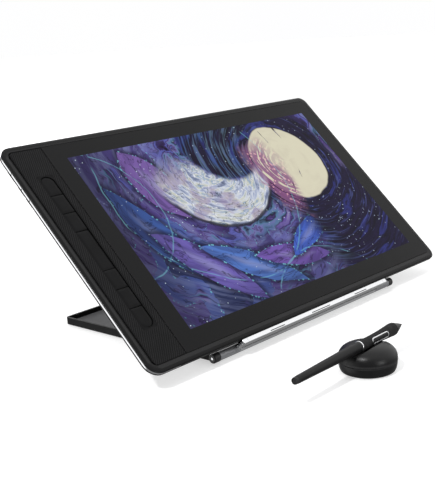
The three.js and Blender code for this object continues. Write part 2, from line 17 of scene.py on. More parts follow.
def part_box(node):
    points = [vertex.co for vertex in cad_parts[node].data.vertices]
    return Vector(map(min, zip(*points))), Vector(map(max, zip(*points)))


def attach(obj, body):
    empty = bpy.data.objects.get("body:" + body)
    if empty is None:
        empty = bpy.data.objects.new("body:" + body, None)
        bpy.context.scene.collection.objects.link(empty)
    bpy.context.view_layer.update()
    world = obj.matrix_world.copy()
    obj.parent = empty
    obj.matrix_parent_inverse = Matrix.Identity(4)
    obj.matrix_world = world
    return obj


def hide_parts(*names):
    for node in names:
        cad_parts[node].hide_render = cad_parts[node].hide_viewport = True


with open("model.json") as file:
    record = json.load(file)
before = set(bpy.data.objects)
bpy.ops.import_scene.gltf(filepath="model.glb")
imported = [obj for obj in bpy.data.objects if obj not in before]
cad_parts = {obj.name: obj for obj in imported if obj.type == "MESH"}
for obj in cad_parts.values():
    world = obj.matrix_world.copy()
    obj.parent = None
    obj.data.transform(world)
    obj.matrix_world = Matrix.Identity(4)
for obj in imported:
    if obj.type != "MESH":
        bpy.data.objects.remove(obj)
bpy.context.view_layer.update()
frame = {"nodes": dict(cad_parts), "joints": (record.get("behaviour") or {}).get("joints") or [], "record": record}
cad = frame["nodes"]
joints = {joint["name"]: joint for joint in frame["joints"]}

MM = 0.001
GAP = 0.3                           # clearance between neighbouring pieces
SLACK = 0.15                        # clearance of a pocket or channel round what sits in it

# Sizes below are in millimetres.
BORDER = 6.1                        # dark margin of the display module round its lit area
BODY_RADII = (13, 9, 9, 13)
SHOULDER = 3.65                     # how far the rounded front edge reaches in
POCKET_RADIUS = 6
TRIM_DEPTH = 1.2
TRIM_BULGE = 0.12
RIB_PITCH = 1.6
RIB_MARGIN = 0.7                    # plain edge of the key panel round its ribs
KEY_REACH = 3.4                     # how far in from its edge a key's top falls away
KEY_DROP = 0.75
CROWN = 23.5                        # height of the pen stand's dome where no valley cuts it
DOME_POWER = 2 / 2.75
VALLEY_RADIUS = 12
VALLEY_BOTTOM = 18.5

# The pen's outlines: places along its axis, and radii.
BARREL = [(3.5, 3.1), (25, 3.5), (58, 4.15), (86.5, 4.65)]
GRIP = [(88.5, 4.6), (102, 4.35), (117, 4.5), (130, 5.15), (136, 5.5), (138.6, 5.5)]
NOSE = [(138.9, 5.4), (139.7, 5.3), (144.3, 3.75), (148, 2.45), (151.5, 1.25)]
NIB_RADIUS = 0.62
NIB_ROUND = 152.9                   # where the nib's round end begins
NIB_END = 154.1

SIDE_KEYS = ("power_key", "brightness_up_key", "brightness_down_key")
PORTS = ("usb_c_port_1", "usb_c_port_2")
TABLET_FEET = ("tablet_foot_1", "tablet_foot_2", "tablet_foot_3", "tablet_foot_4")
PLATE_PADS = ("plate_pad_1", "plate_pad_2")
BASE_FEET = ("base_foot_front", "base_foot_rear")
LIP_PADS = ("lip_pad_1", "lip_pad_2", "lip_pad_3")
SLOT_KEYS = ["touch_bar"] + [f"express_key_{number}" for number in range(1, 7)]


# ---------------------------------------------------------------- frames

def frame_of(x, y, origin):
    """The matrix of a frame with these x and y axes, standing at origin."""
    z = x.cross(y)
    matrix = Matrix((x, y, z)).transposed().to_4x4()
    matrix.translation = origin
    return matrix


def local_box(node, place):
    """Lowest and highest corner of a CAD node in the frame `place`, in millimetres."""
    inverse = place.inverted()
    points = [inverse @ vertex.co / MM for vertex in cad[node].data.vertices]
    low = Vector([min(p[i] for p in points) for i in range(3)])
    high = Vector([max(p[i] for p in points) for i in range(3)])
    return low, high


X_AXIS = Vector((1, 0, 0))
hinge = Vector(joints["stand_tilt"]["pos_m"])
face_normal = Vector(joints["tablet_lift"]["axis"]).normalized()
TILTED = frame_of(X_AXIS, face_normal.cross(X_AXIS), hinge)
HINGE = Matrix.Translation(hinge)
DESK = Matrix.Identity(4)

pen_direction = -Vector(joints["nib_press"]["axis"]).normalized()
pen_across = Vector(joints["pen_button_rock"]["axis"]).normalized()
ring_low, ring_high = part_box("pen_ring")
PEN = frame_of(pen_direction, pen_across, (ring_low + ring_high) / 2)
tail = local_box("pen_tail_cap", PEN)[0].x * MM
PEN.translation = PEN @ Vector((tail, 0, 0))

lid_low, lid_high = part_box("pen_stand_lid")
HOLDER = Matrix.Translation(((lid_low.x + lid_high.x) / 2, (lid_low.y + lid_high.y) / 2, 0))


# ---------------------------------------------------------------- shapes

def quarter(steps=8):
    """Angles from 0 to 90 degrees in equal steps."""
    return [step / steps * math.pi / 2 for step in range(steps + 1)]


def arc(centre, radius, start, end, steps):
    """Points on an arc between two angles in degrees."""
    turns = [math.radians(start + (end - start) * step / steps) for step in range(steps + 1)]
    return [(centre[0] + radius * math.cos(t), centre[1] + radius * math.sin(t)) for t in turns]


def outline(limits, radii, inset=0.0, steps=6):
    """Points anticlockwise round a rectangle with rounded corners, in from its edges.

    The radii go from the bottom left corner round: bottom left, bottom right, top right, top left.
    """
    left, bottom, right, top = limits
    corners = ((left, bottom, 1, 1), (right, bottom, -1, 1), (right, top, -1, -1), (left, top, 1, -1))
    points = []
    for turn, ((x, y, to_x, to_y), radius) in enumerate(zip(corners, radii)):
        r = max(radius - inset, 0.02)
        centre = (x + to_x * (inset + r), y + to_y * (inset + r))
        start = 180 + 90 * turn
        points += arc(centre, r, start, start + 90, steps)
    return points


def loft(rings, loop=False):
    """A skin over rings of equally many points; its ends are capped, or joined if it is a loop."""
    skin = bmesh.new()
    rows = [[skin.verts.new(point) for point in ring] for ring in rings]
    count = len(rows[0])
    for lower, upper in zip(rows, rows[1:] + (rows[:1] if loop else [])):
        for i in range(count):
            j = (i + 1) % count
            skin.faces.new((lower[i], lower[j], upper[j], upper[i]))
    if not loop:
        skin.faces.new(rows[0][::-1])
        skin.faces.new(rows[-1])
    return skin


def layered(layers, outline_at):
    """A skin through outlines at [height, inset] layers, from its bottom cap to its top cap."""
    return loft([[(x, y, height) for x, y in outline_at(inset)] for height, inset in layers])


def rim(at, inward, edge, steps=4):
    """Layers [height, inset] that round an edge off: at is the end, inward the way to the middle."""
    return [[at + inward * edge * (1 - math.sin(t)), edge * (1 - math.cos(t))] for t in quarter(steps)]


ORDERS = {"z": (0, 1, 2), "x": (1, 2, 0), "y": (2, 0, 1)}


def block(low, high, radii, edge=0.3, axis="z", steps=4):
    """A block with rounded corners round `axis`, and rounded rims."""
    a, b, along = ORDERS[axis]
    corners = radii if isinstance(radii, (list, tuple)) else [radii] * 4
    limits = (low[a], low[b], high[a], high[b])
    layers = rim(low[along], 1, edge, steps)[::-1] + rim(high[along], -1, edge, steps)
    skin = layered(layers, lambda inset: outline(limits, corners, inset, steps))
    for vertex in skin.verts:
        point = [0.0, 0.0, 0.0]
        point[a], point[b], point[along] = vertex.co
        vertex.co = point
    return skin


def lathe(profile, sides=64, loop=False):
    """A solid turned about x. The profile is (along, radius) points; radius 0 closes an end."""
    skin = bmesh.new()
    rows = []
    for along, radius in profile:
        count = sides if radius > 1e-6 else 1
        turns = [2 * math.pi * i / count for i in range(count)]
        rows.append([skin.verts.new((along, radius * math.cos(t), radius * math.sin(t))) for t in turns])
    for lower, upper in zip(rows, rows[1:] + (rows[:1] if loop else [])):
        for i in range(sides):
            j = (i + 1) % sides
            around = [row[k % len(row)] for row, k in ((lower, i), (lower, j), (upper, j), (upper, i))]
            corners = list(dict.fromkeys(around))
            if len(corners) > 2:
                skin.faces.new(corners)
    return skin


def moved(skin, matrix):
    """The skin turned and shifted by a matrix whose shift is in millimetres."""
    bmesh.ops.transform(skin, matrix=matrix, verts=skin.verts)
    return skin


def turned_up(profile, sides=96, loop=False):
    """A solid turned about z, from (height, radius) points."""
    return moved(lathe(profile, sides, loop), Matrix.Rotation(-math.pi / 2, 4, "Y"))


def spline(points, steps=8):
    """Points on a Catmull-Rom curve through (along, radius) points."""
    ends = [points[0]] + list(points) + [points[-1]]
    curve = []
    for p0, p1, p2, p3 in zip(ends, ends[1:], ends[2:], ends[3:]):
        for step in range(steps):
            t = step / steps
            curve.append(tuple(
                0.5 * (2 * b + (c - a) * t + (2 * a - 5 * b + 4 * c - d) * t * t
                       + (3 * b - a - 3 * c + d) * t ** 3)
                for a, b, c, d in zip(p0, p1, p2, p3)))
    return curve + [tuple(points[-1])]


def joined(*skins):
    """One skin that holds all of these as separate shells."""
    whole = skins[0]
    for skin in skins[1:]:
        mesh = bpy.data.meshes.new("part")
        skin.to_mesh(mesh)
        skin.free()
        whole.from_mesh(mesh)
        bpy.data.meshes.remove(mesh)
    return whole


def as_object(name, skin):
    """A new object in the scene that takes over a skin."""
    mesh = bpy.data.meshes.new(name)
    skin.to_mesh(mesh)
    skin.free()
    made = bpy.data.objects.new(name, mesh)
    bpy.context.scene.collection.objects.link(made)
    return made


def short_lived(skin):
    """An object that holds a skin while a modifier reads it."""
    bmesh.ops.recalc_face_normals(skin, faces=skin.faces)
    return as_object("short_lived", skin)


def carved(skin, *tools, operation="DIFFERENCE"):
    """The skin with each tool cut away from it, or joined to it."""
    body = short_lived(skin)
    others = [short_lived(tool) for tool in tools]
    for other in others:
        modifier = body.modifiers.new("cut", "BOOLEAN")
        modifier.operation = operation
        modifier.solver = "EXACT"
        modifier.object = other
    bpy.context.view_layer.update()
    result = bmesh.new()
    result.from_mesh(body.evaluated_get(bpy.context.evaluated_depsgraph_get()).data)
    for used in [body] + others:
        mesh = used.data
        bpy.data.objects.remove(used)
        bpy.data.meshes.remove(mesh)
    return result


def piece(node, skin, place=DESK, sharp=32, bevel=0.0):
    """A finished piece that stands for a CAD node, from a skin in millimetres in the frame `place`."""
    bmesh.ops.remove_doubles(skin, verts=skin.verts, dist=1e-4)
    bmesh.ops.recalc_face_normals(skin, faces=skin.faces)
    bmesh.ops.scale(skin, vec=(MM, MM, MM), verts=skin.verts)
    made = as_object(node + "_look", skin)
    made.data.materials.append(finishes[slot_of[node]])
    made.data.shade_smooth()
    made.data.set_sharp_from_angle(angle=math.radians(sharp))
    made.matrix_world = place
    if bevel:
        rounding = made.modifiers.new("rounding", "BEVEL")
        rounding.width = bevel * MM
        rounding.segments = 3
        rounding.limit_method = "ANGLE"
        rounding.angle_limit = math.radians(sharp)
    even = made.modifiers.new("even_normals", "WEIGHTED_NORMAL")
    even.keep_sharp = True
    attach(made, body_of[node])
    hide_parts(node)
    return made


def block_piece(node, place, radii, edge=0.3, axis="z", steps=4):
    """A rounded block that fills a CAD node's box."""
    low, high = local_box(node, place)
    piece(node, block(low, high, radii, edge, axis, steps), place, sharp=50)


# ---------------------------------------------------------------- materials

def rgb(red, green, blue):
    """A linear colour from display values of 0 to 255."""
    return tuple(
        ((value / 255 + 0.055) / 1.055) ** 2.4 if value > 10 else value / 3295
        for value in (red, green, blue))


class Shader:
    """The nodes of one material or world. Its methods add nodes and give back their outputs."""

    def __init__(self, owner):
        self.owner = owner
        owner.use_nodes = True
        self.tree = owner.node_tree
        self.tree.nodes.clear()
        self.coordinates = self.add("ShaderNodeTexCoord").outputs
        self.place = self.vector("SCALE", self.coordinates["Object"], scale=1 / MM)

    def add(self, kind, inputs=(), **settings):
        node = self.tree.nodes.new(kind)
        for name, value in settings.items():
            setattr(node, name, value)
        for name, value in dict(inputs).items():
            self.put(node.inputs[name], value)
        return node

    def put(self, socket, value):
        if isinstance(value, bpy.types.NodeSocket):
            self.tree.links.new(value, socket)
        elif socket.type == "RGBA":
            socket.default_value = (*value, 1.0)[:4]
        else:
            socket.default_value = value

    def math(self, operation, a, b=0.0):
        return self.add("ShaderNodeMath", {0: a, 1: b}, operation=operation).outputs[0]

    def times(self, a, b):
        return self.math("MULTIPLY", a, b)

    def minus(self, a, b):
        return self.math("SUBTRACT", a, b)

    def vector(self, operation, a, b=(0, 0, 0), scale=None):
        inputs = {0: a, 1: b}
        if scale is not None:
            inputs["Scale"] = scale
        node = self.add("ShaderNodeVectorMath", inputs, operation=operation)
        return node.outputs["Value" if operation in ("LENGTH", "DISTANCE", "DOT_PRODUCT") else "Vector"]

    def parts(self, vector):
        return self.add("ShaderNodeSeparateXYZ", {0: vector}).outputs

    def together(self, x, y, z=0.0):
        return self.add("ShaderNodeCombineXYZ", {0: x, 1: y, 2: z}).outputs[0]

    def noise(self, scale, detail=3.0, at=None, distortion=0.0):
        inputs = {"Vector": at or self.place, "Scale": scale, "Detail": detail, "Distortion": distortion}
        return self.add("ShaderNodeTexNoise", inputs).outputs[0]

    def cells(self, scale, at=None, feature="F1"):
        inputs = {"Vector": at or self.place, "Scale": scale}
        return self.add("ShaderNodeTexVoronoi", inputs, feature=feature).outputs["Distance"]

    def span(self, value, low, high, to_low=0.0, to_high=1.0):
        """A smooth step of the value between low and high."""
        inputs = {0: value, 1: low, 2: high, 3: to_low, 4: to_high}
        return self.add("ShaderNodeMapRange", inputs, interpolation_type="SMOOTHSTEP").outputs[0]

    def ramp(self, value, stops):
        node = self.add("ShaderNodeValToRGB", {0: value})
        elements = node.color_ramp.elements
        while len(elements) < len(stops):
            elements.new(1.0)
        for element, (position, colour) in zip(elements, stops):
            element.position = position
            element.color = (*colour, 1.0)
        return node.outputs[0]

    def mix(self, share, a, b, blend="MIX"):
        node = self.add("ShaderNodeMix", data_type="RGBA", blend_type=blend)
        self.put(node.inputs[0], share)
        self.put(node.inputs[6], a)
        self.put(node.inputs[7], b)
        return node.outputs[2]

    def bump(self, height, distance, strength=1.0):
        inputs = {"Height": height, "Distance": distance * MM, "Strength": strength}
        return self.add("ShaderNodeBump", inputs).outputs[0]

    def worn_and_lit_edges(self):
        """0 on flats and in hollows, 1 on sharp outer edges: where coated stock is painted lighter, as wear and as
        a painted highlight.
        """
        return self.span(self.add("ShaderNodeNewGeometry").outputs["Pointiness"], 0.51, 0.56)

    def shown(self, surface, output="ShaderNodeOutputMaterial"):
        """The material or world, now that it shows this surface."""
        self.tree.links.new(surface, self.add(output).inputs["Surface"])
        return self.owner

    def finish(self, **inputs):
        named = {}
        for name, value in inputs.items():
            named[name.replace("_", " ").title().replace("Ior", "IOR")] = value
        return self.shown(self.add("ShaderNodeBsdfPrincipled", named).outputs[0])


def coated(name, colour, roughness, grain, depth, specular=0.25, edge_wear_and_light=0.5):
    """Moulded or coated stock: a fine grain, faint blotches of tone, and edges painted lighter, partly as wear and
    partly as a painted highlight.
    """
    s = Shader(bpy.data.materials.new(name))
    blotch = s.noise(0.05, 4)
    fine = s.noise(grain, 2)
    tone = s.mix(s.span(blotch, 0.3, 0.7), [c * 0.86 for c in colour], [c * 1.14 for c in colour])
    # edges painted lighter: partly wear, partly a painted highlight along the edges
    tone = s.mix(s.times(s.worn_and_lit_edges(), edge_wear_and_light), tone, [min(1, c * 2 + 0.02) for c in colour])
    speckle = s.span(fine, 0.35, 0.65, roughness - 0.07, roughness + 0.07)
    smudge = s.span(s.noise(0.11, 3, distortion=0.6), 0.55, 0.8, 0.0, 0.08)
    return s.finish(
        base_color=tone, roughness=s.minus(speckle, smudge),
        specular_ior_level=specular, normal=s.bump(fine, depth, 0.6))


def brushed(name, colour, roughness, along, scratch=0.02, metallic=1.0):
    """Bright or dark metal with fine draw lines along one axis and a few soft marks."""
    s = Shader(bpy.data.materials.new(name))
    stretch = [2.2, 2.2, 2.2]
    stretch["xyz".index(along)] = 0.05
    lines = s.noise(3.0, 4, s.vector("MULTIPLY", s.place, stretch))
    marks = s.noise(0.09, 4, distortion=0.8)
    tone = s.mix(s.span(lines, 0.3, 0.7), [c * 0.92 for c in colour], colour)
    tone = s.mix(s.span(marks, 0.5, 0.8, 0.0, 0.35), tone, [c * 0.86 for c in colour])
    drawn = s.span(lines, 0.3, 0.7, roughness - 0.04, roughness + 0.05)
    rough = s.math("ADD", drawn, s.span(marks, 0.5, 0.8, 0, 0.06))
    return s.finish(
        base_color=tone, metallic=metallic, roughness=rough, normal=s.bump(lines, scratch, 0.5))


def rubber(name, colour, grain=5.0):
    """Matte rubber: fine pitted skin, dust in its pores and a faint sheen."""
    s = Shader(bpy.data.materials.new(name))
    pits = s.cells(grain)
    dust = s.noise(0.16, 5)
    tone = s.mix(s.span(dust, 0.45, 0.8, 0.0, 0.5), colour, [c + 0.03 for c in colour])
    return s.finish(
        base_color=tone, roughness=s.span(dust, 0.3, 0.7, 0.72, 0.9), specular_ior_level=0.18,
        sheen_weight=0.05, normal=s.bump(pits, 0.03, 0.5))


def board(name):
    """Green solder mask with copper tracks showing through and small dark parts."""
    s = Shader(bpy.data.materials.new(name))
    grid = s.cells(0.22, feature="DISTANCE_TO_EDGE")
    tracks = s.span(grid, 0.02, 0.05, 1.0, 0.0)
    pads = s.span(s.cells(0.6), 0.10, 0.14, 1.0, 0.0)
    tone = s.mix(s.times(tracks, 0.5), rgb(16, 78, 46), rgb(42, 122, 70))
    tone = s.mix(pads, tone, rgb(196, 172, 96))
    return s.finish(base_color=tone, roughness=0.42, normal=s.bump(tracks, 0.04))


def display_module(name):
    """The back and edges of the display module: grey sheet with a fine dot grid."""
    s = Shader(bpy.data.materials.new(name))
    dots = s.span(s.cells(0.9), 0.2, 0.3)
    tone = s.mix(dots, rgb(120, 124, 132), rgb(150, 154, 160))
    return s.finish(base_color=tone, roughness=s.span(s.noise(0.3), 0.3, 0.7, 0.3, 0.45), metallic=0.3)


def ribbed_panel(name):
    """Satin panel whose ribs are real; its skin has a fine texture, and its rib tops are painted lighter as a
    painted highlight.
    """
    s = Shader(bpy.data.materials.new(name))
    fine = s.noise(7.0, 2)
    height = s.parts(s.place)[2]
    # painted highlight: the rib tops, within 0.16 mm of the panel's top, are painted lighter than the grooves
    top = s.span(height, panel_top - 0.16, panel_top)
    tone = s.mix(top, rgb(12, 12, 13), rgb(34, 34, 35))
    blotch = s.span(s.noise(0.06, 4), 0.3, 0.7, 0.9, 1.1)
    tone = s.mix(1.0, tone, s.together(blotch, blotch, blotch), "MULTIPLY")
    return s.finish(base_color=tone, roughness=0.5, specular_ior_level=0.09, normal=s.bump(fine, 0.01))


def art_frame(s):
    """Screen coordinates: 0,0 is its middle and y runs from -1 to 1 up the lit area."""
    middle = (screen_middle.x, screen_middle.y, 0)
    flat = s.vector("MULTIPLY", s.vector("SUBTRACT", s.place, middle), (1, 1, 0))
    return s.vector("SCALE", flat, scale=1 / screen_half.y)


def disc(s, at, centre, radius, blur, stretch=(1, 1, 1)):
    """1 inside a round patch and 0 outside, with a blurred edge."""
    away = s.vector("LENGTH", s.vector("MULTIPLY", s.vector("SUBTRACT", at, (*centre, 0)), stretch))
    return s.span(away, radius - blur, radius + blur, 1.0, 0.0)


def currents(s, at, centre, around, across, detail=5.0):
    """Streaks that run round a centre, long round it and short across it, and the way from it."""
    out = s.vector("MULTIPLY", s.vector("SUBTRACT", at, (*centre, 0)), (1, 1, 0))
    away = s.vector("LENGTH", out)
    heading = s.parts(s.vector("SCALE", s.vector("NORMALIZE", out), scale=around))
    spot = s.together(heading[0], heading[1], s.times(away, across))
    return s.noise(1.0, detail, spot, 0.3), away


def leaf(s, at, centre, half_length, half_width, heading):
    """How deep a spot lies in a pointed leaf: 0 on its edge, and half_width on its middle line."""
    radius = (half_length ** 2 + half_width ** 2) / (2 * half_width)
    turn = math.radians(heading)
    across = Vector((-math.sin(turn), math.cos(turn), 0)) * (radius - half_width)
    middle = Vector((*centre, 0))
    away = [s.vector("DISTANCE", at, middle + across * side) for side in (-1, 1)]
    return s.minus(radius, s.math("MAXIMUM", *away))


def dotted(s, at, away, spacing, size):
    """Rows of small dots along circles."""
    row = s.math("ABSOLUTE", s.math("SINE", s.times(away, spacing)))
    dots = s.span(s.cells(24, at), size, size + 0.12, 1.0, 0.0)
    return s.times(s.span(row, 0.80, 0.95), dots)


def screen_art(s):
    """An abstract marbled painting: currents turning round a pale pool and a light crescent."""
    at = art_frame(s)
    wander = s.add("ShaderNodeTexNoise", {"Vector": at, "Scale": 1.6, "Detail": 4.0}).outputs["Color"]
    bend = s.vector("SUBTRACT", wander, (0.5, 0.5, 0.5))
    loose = s.vector("ADD", at, s.vector("SCALE", bend, scale=0.55))
    firm = s.vector("ADD", at, s.vector("SCALE", bend, scale=0.12))
    wide = currents(s, loose, CRESCENT, 1.6, 5.0)[0]
    fine, fine_away = currents(s, firm, CRESCENT, 2.4, 17.0, 4.0)
    night = currents(s, firm, POOL, 1.6, 9.0)[0]
    streak, streak_away = currents(s, firm, POOL, 2.2, 34.0, 3.0)

    paint = s.ramp(wide, [
        (0.30, rgb(8, 6, 22)), (0.38, rgb(52, 36, 92)), (0.43, rgb(92, 96, 176)), (0.47, rgb(30, 26, 58)),
        (0.50, rgb(122, 108, 180)), (0.54, rgb(84, 122, 160)), (0.58, rgb(20, 16, 40)),
        (0.63, rgb(96, 72, 156)),
        (0.72, rgb(154, 150, 190))])
    petals = s.vector("MULTIPLY", loose, (1.0, 0.55, 1))
    level = s.times(s.noise(1.2, 0.6, petals, 0.3), 11)
    petal = s.ramp(s.math("DIVIDE", s.math("FLOOR", level), 11), [
        (0.25, rgb(24, 16, 50)), (0.34, rgb(58, 92, 160)), (0.43, rgb(92, 74, 150)),
        (0.52, rgb(44, 40, 96)),
        (0.61, rgb(108, 92, 164)), (0.70, rgb(70, 108, 168))])
    petal = s.mix(s.span(fine, 0.42, 0.64, 0.0, 0.35), petal, rgb(150, 160, 206))
    rim = s.math("FRACT", level)
    beads = s.span(s.cells(30, at), 0.25, 0.4, 0.8, 0.0)
    petal = s.mix(s.times(s.span(rim, 0.03, 0.12, 1.0, 0.0), beads), petal, rgb(120, 200, 220))
    x, y = s.parts(at)[0], s.parts(at)[1]
    low_left = s.math("MAXIMUM", s.span(x, -0.5, -0.9), s.span(y, -0.2, -0.5))
    paint = s.mix(s.times(low_left, s.span(s.noise(1.7, 2, loose), 0.36, 0.44)), paint, petal)
    for centre, half_length, half_width, heading, tone in ART_LEAVES:
        deep = leaf(s, firm, centre, half_length, half_width, heading)
        veins = s.mix(s.span(fine, 0.44, 0.60, 0.0, 0.4), tone, rgb(34, 28, 78))
        veins = s.mix(s.span(deep, half_width * 0.5, half_width, 0.0, 0.3), veins, rgb(178, 182, 218))
        paint = s.mix(s.span(deep, -0.07, 0.0, 0.0, 0.75), paint, rgb(18, 12, 40))
        paint = s.mix(s.span(deep, 0.0, 0.01), paint, veins)
        edge = s.times(s.span(s.math("ABSOLUTE", deep), 0.004, 0.014, 1.0, 0.0), beads)
        paint = s.mix(edge, paint, rgb(126, 206, 222))
    dusk = s.math("MAXIMUM", s.span(x, -1.05, -1.75, 0.0, 0.7), s.span(y, -0.55, -1.0, 0.0, 0.45))
    paint = s.mix(dusk, paint, rgb(30, 26, 54))

    dark = s.ramp(night, [
        (0.32, rgb(10, 6, 22)), (0.48, rgb(26, 18, 54)), (0.56, rgb(14, 8, 30)), (0.64, rgb(44, 48, 118)),
        (0.72, rgb(20, 14, 44))])
    teal = s.mix(s.span(night, 0.4, 0.6), rgb(84, 108, 128), rgb(58, 88, 142))
    bright_streaks = s.times(s.span(streak, 0.46, 0.58), s.span(x, 0.95, 0.1))
    dark = s.mix(s.times(bright_streaks, 0.75), dark, teal)
    dark = s.mix(s.span(streak, 0.56, 0.70, 0.0, 0.4), dark, rgb(92, 104, 176))
    dots = s.times(dotted(s, at, streak_away, 42, 0.10), s.span(wide, 0.40, 0.56))
    dark = s.mix(dots, dark, rgb(170, 184, 216))
    shade = s.math("MAXIMUM", disc(s, firm, (1.52, -0.72), 1.0, 0.16), disc(s, firm, POOL, 0.80, 0.1))
    shade = s.math("MAXIMUM", shade, disc(s, firm, BOWL, 0.50, 0.03))
    paint = s.mix(shade, paint, dark)

    pale = s.ramp(fine, [
        (0.34, rgb(120, 130, 160)), (0.43, rgb(176, 186, 212)), (0.50, rgb(216, 222, 232)),
        (0.56, rgb(206, 208, 192)),
        (0.62, rgb(146, 170, 200)), (0.70, rgb(226, 226, 230))])
    flecks = s.cells(20, loose)
    pale = s.mix(s.span(flecks, 0.08, 0.3, 0.9, 0.0), pale, rgb(246, 246, 250))
    mauve = s.times(s.span(s.noise(3.2, 4, loose), 0.52, 0.62), 0.6)
    pale = s.mix(mauve, pale, rgb(150, 128, 168))
    crescent = s.times(disc(s, firm, CRESCENT, 0.80, 0.02), disc(s, firm, BOWL, 0.52, 0.03))
    crescent = s.minus(disc(s, firm, CRESCENT, 0.80, 0.02), crescent)
    crescent = s.times(crescent, s.span(s.parts(loose)[0], -1.05, -0.85))
    crescent = s.times(crescent, s.span(s.parts(loose)[1], 0.75, 0.45))
    paint = s.mix(crescent, paint, pale)
    edge = s.span(s.math("ABSOLUTE", s.minus(fine_away, 0.80)), 0.008, 0.03, 0.85, 0.0)
    paint = s.mix(s.times(edge, s.span(y, 0.5, 0.1)), paint, rgb(10, 8, 24))

    blush = s.mix(s.span(flecks, 0.12, 0.4), rgb(240, 176, 190), rgb(138, 84, 132))
    rose = disc(s, loose, (0.56, 0.26), 0.24, 0.09, (1.0, 0.55, 1))
    rose = s.times(rose, s.span(streak, 0.38, 0.46))
    cream = s.mix(s.span(night, 0.4, 0.7, 0, 0.35), rgb(222, 217, 192), rgb(204, 196, 176))
    pool = s.times(disc(s, firm, POOL, 0.51, 0.012), s.span(fine, 0.30, 0.34))
    paint = s.mix(pool, paint, cream)
    paint = s.mix(s.times(rose, 0.9), paint, blush)

    lines = s.math("ABSOLUTE", s.minus(s.math("FRACT", s.times(wide, 9)), 0.5))
    open_paint = s.minus(1.0, s.math("MAXIMUM", pool, shade))
    inked = s.times(s.span(lines, 0.02, 0.08, 0.55, 0.0), open_paint)
    paint = s.mix(inked, paint, rgb(8, 6, 20))
    for centre, radius in ART_THREADS:
        away = s.vector("DISTANCE", firm, (*centre, 0))
        thread = s.span(s.math("ABSOLUTE", s.minus(away, radius)), 0.003, 0.010, 0.35, 0.0)
        paint = s.mix(s.times(thread, s.span(night, 0.40, 0.52)), paint, rgb(130, 206, 222))
    stars = s.span(s.cells(19, at), 0.05, 0.15, 1.0, 0.0)
    stars = s.times(stars, s.span(s.noise(2.4, 2, at), 0.50, 0.60))
    return s.mix(s.times(stars, s.minus(1.0, pool)), paint, rgb(214, 232, 244))


POOL = (0.94, 0.40)                 # centres of the painting's round shapes, on the screen
CRESCENT = (-0.28, 0.61)
BOWL = (0.08, 0.85)
ART_THREADS = [((-0.5, 0.4), 1.18), ((-1.9, 0.3), 0.75), ((0.2, -1.6), 0.95)]
ART_LEAVES = [                      # centre, half length, half width, heading in degrees, tone
    ((-1.04, 0.50), 0.48, 0.24, -72, rgb(120, 92, 164)),
    ((-1.42, -0.02), 0.66, 0.17, -70, rgb(66, 102, 178)),
    ((-1.08, -0.50), 0.64, 0.18, -52, rgb(112, 98, 182)),
    ((-0.56, -0.62), 0.62, 0.15, -34, rgb(82, 120, 198)),
    ((0.02, -0.66), 0.52, 0.14, -14, rgb(116, 88, 174)),
    ((0.44, -0.48), 0.50, 0.12, 24, rgb(66, 98, 196)),
    ((0.62, -0.10), 0.46, 0.09, -64, rgb(166, 120, 160)),
]


def lit_glass(name):
    """Etched cover glass: a black border, and the painting shining through where the display is."""
    s = Shader(bpy.data.materials.new(name))
    at = s.parts(art_frame(s))
    wide = s.math("LESS_THAN", s.math("ABSOLUTE", at[0]), screen_half.x / screen_half.y)
    tall = s.math("LESS_THAN", s.math("ABSOLUTE", at[1]), 1.0)
    front = s.math("GREATER_THAN", s.parts(s.place)[2], glass_high.z - 0.05)
    lit = s.times(s.times(wide, tall), front)
    shine = s.minus(0.12, s.times(lit, 0.06))
    etch = s.noise(9.0, 2)
    smear = s.span(s.noise(0.02, 4, distortion=1.0), 0.4, 0.75, 0.0, 0.05)
    return s.finish(
        base_color=s.mix(lit, rgb(14, 14, 15), (0.001, 0.001, 0.0012)),
        roughness=s.math("ADD", 0.36, smear), specular_ior_level=shine,
        emission_color=screen_art(s), emission_strength=s.times(lit, 0.92),
        normal=s.bump(etch, 0.004, 0.5))


# ---------------------------------------------------------------- measures from the model

slot_of = {part["node"]: part["material_slot"] for part in frame["record"]["subparts"]}
body_of = {node: body for body, nodes in frame["record"]["behaviour"]["bodies"].items() for node in nodes}

frame_low, frame_high = local_box("mid_frame", TILTED)
glass_low, glass_high = local_box("cover_glass", TILTED)
panel_low, panel_high = local_box("key_panel", TILTED)
display_low, display_high = local_box("lcd_panel", TILTED)
trim_low, trim_high = local_box("side_trim", TILTED)
panel_top = panel_high.z

screen_middle = (display_low + display_high) / 2
screen_half = (display_high - display_low) / 2 - Vector((BORDER, BORDER, 0))

side_key_travel = joints["power_button_press"]["range_m"][1] / MM


def body_outline(inset, steps=8):
    return outline((frame_low.x, frame_low.y, frame_high.x, frame_high.y), BODY_RADII, inset, steps)


# ---------------------------------------------------------------- tablet

def grown(node, place, by):
    """The corners of a CAD node's box, moved out by `by`."""
    low, high = local_box(node, place)
    return low - Vector((by, by, by)), high + Vector((by, by, by))


def side_openings():
    """Tools for the places of the keys on the left edge and the ports on the right edge."""
    tools = []
    for node in SIDE_KEYS:
        low, high = grown(node, TILTED, 0.2)
        low.x -= 3
        high.x += side_key_travel
        tools.append(block(low, high, 1.1, 0.05, "x"))
    for node in PORTS:
        low, high = grown(node, TILTED, SLACK)
        high.x += 3
        tools.append(block(low, high, 1.6, 0.05, "x"))
    return tools


def band(section, reach):
    """A strip that follows the outline round the left end. The section is (inset, height) points."""
    steps = 12

    def path(inset):
        points = body_outline(inset, steps)
        lower = points[:steps + 1][::-1]
        upper = points[-steps - 1:][::-1]
        return [(reach, frame_low.y + inset)] + lower + upper + [(reach, frame_high.y - inset)]
    rows = [[(x, y, height) for x, y in path(inset)] for inset, height in section]
    return loft([list(ring) for ring in zip(*rows)])


